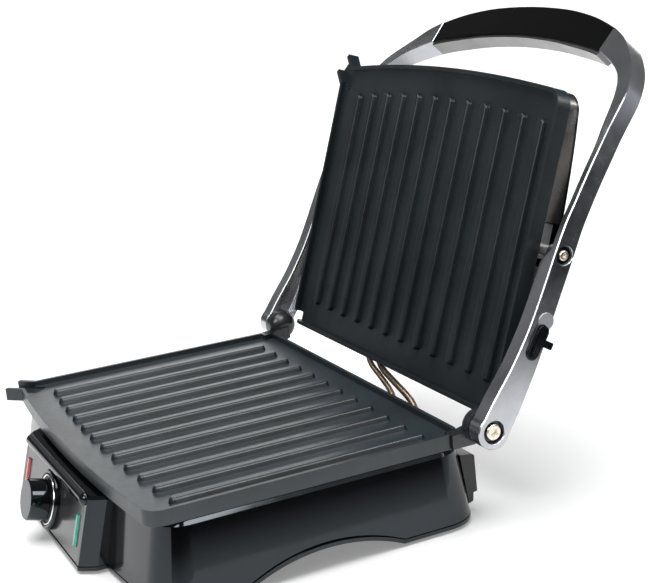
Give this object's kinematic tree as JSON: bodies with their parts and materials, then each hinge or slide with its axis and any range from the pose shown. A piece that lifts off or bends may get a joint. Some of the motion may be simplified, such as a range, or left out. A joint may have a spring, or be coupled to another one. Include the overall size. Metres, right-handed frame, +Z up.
{
  "type": "electric indoor grill with lid",
  "caption": "Contact grill with ribbed non-stick plates, a brushed lid floating between curved side arms, a bridging grip, a side slide lock and a front thermostat knob.",
  "frame": {"origin": "on the resting plane, in the middle of the four feet; the hinge axis lies 125 mm behind it and 67.2 mm above it", "axes": "+X to the right-hand side, +Y to the back where the hinges are, +Z up; the thermostat knob faces -Y"},
  "size_m": [0.3605, 0.4554, 0.3258],
  "materials": {
    "black_gloss": "polished",
    "black_matte": "fine texture",
    "rubber": "matte",
    "zinc": "plated",
    "warm_steel": "plated",
    "chrome": "polished",
    "red_lens": "translucent",
    "green_lens": "translucent",
    "lamp_glass": "clear",
    "ceramic": "glazed",
    "nonstick": "satin non-stick coating on cast aluminium",
    "element": "oxidised sheath",
    "reflector": "bright sheet",
    "arm_alloy": "satin, polished edges",
    "dark_casting": "black coating",
    "steel": "plain",
    "lid_steel": "brushed across",
    "liner": "satin",
    "conduit": "close-wound spring, nickel over brass"
  },
  "bodies": {
    "base": {"base_housing": "black_gloss", "bottom_cover": "black_gloss", "rubber_feet": "rubber", "base_screws": "zinc", "control_panel": "black_gloss", "panel_brow": "black_gloss", "knob_bezel": "black_gloss", "knob_chrome_ring": "chrome", "heating_lamp_lens": "red_lens", "ready_lamp_lens": "green_lens", "indicator_lamps": "lamp_glass", "thermostat": "ceramic", "lower_plate": "nonstick", "lower_plate_screws": "zinc", "lower_heater": "element", "lower_reflector": "steel", "thermal_fuse": "ceramic", "terminal_block": "ceramic", "cord_gland": "rubber", "rear_stands": "black_matte", "hinge_brackets": "dark_casting", "hinge_screws": "warm_steel", "link_conduits": "conduit"},
    "arms": {"right_arm": "arm_alloy", "left_arm": "arm_alloy", "hinge_bushes": "black_matte", "handle_core": "arm_alloy", "handle_grip": "black_gloss", "handle_liner": "liner", "handle_screws": "zinc", "pivot_bushes": "black_matte", "lock_plate": "black_gloss"},
    "head": {"upper_plate": "nonstick", "upper_plate_screws": "zinc", "lid_pan": "steel", "lid_cover": "lid_steel", "lid_edge_trim": "black_gloss", "upper_heater": "element", "upper_reflector": "reflector", "lid_pivot_brackets": "steel", "lid_pivot_screws": "warm_steel"},
    "knob": {"thermostat_knob": "black_gloss", "knob_shaft": "steel"},
    "slider": {"lock_slider": "black_matte"}
  },
  "joints": [
    {"name": "arm_hinge", "type": "hinge", "parent": "base", "child": "arms", "pos_m": [0, 0.125, 0.0672], "axis": [1, 0, 0], "range_deg": [-68, 110.2], "deforming": ["link_conduits"]},
    {"name": "head_tilt", "type": "hinge", "parent": "arms", "child": "head", "pos_m": [0, 0.186, 0.176], "axis": [1, 0, 0], "range_deg": [-4.5, 0]},
    {"name": "knob_turn", "type": "hinge", "parent": "base", "child": "knob", "pos_m": [0, -0.1298, 0.025], "axis": [0, -0.9659, 0.2588], "range_deg": [0, 270]},
    {"name": "lock_slide", "type": "slide", "parent": "arms", "child": "slider", "axis": [0, 0.5206, 0.8538], "range_m": [-0.0064, 0]}
  ]
}
